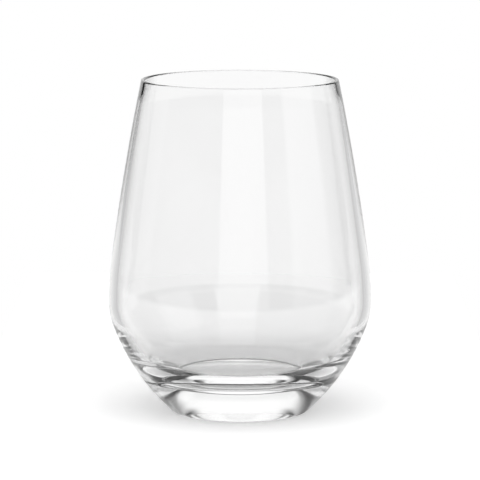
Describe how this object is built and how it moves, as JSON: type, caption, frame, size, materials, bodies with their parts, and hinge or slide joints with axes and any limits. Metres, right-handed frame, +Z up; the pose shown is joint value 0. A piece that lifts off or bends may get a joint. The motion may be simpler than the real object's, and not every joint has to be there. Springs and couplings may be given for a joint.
{
  "type": "stemless wine glass",
  "caption": "Clear stemless wine glass: a thin-walled bowl, widest low down and drawn in to a rounded lip, fused to a thick solid base with a rounded heel and a very shallow hollow underneath.",
  "frame": {"origin": "centre of the foot, on the table that the glass stands on", "axes": "+Z up along the axis that the glass is turned about; X and Y are alike"},
  "size_m": [0.088, 0.088, 0.1114],
  "materials": {
    "clear_glass": "clear, colourless, fire-polished soda-lime crystal glass"
  },
  "bodies": {
    "root": {"bowl": "clear_glass", "base": "clear_glass"}
  },
  "joints": []
}
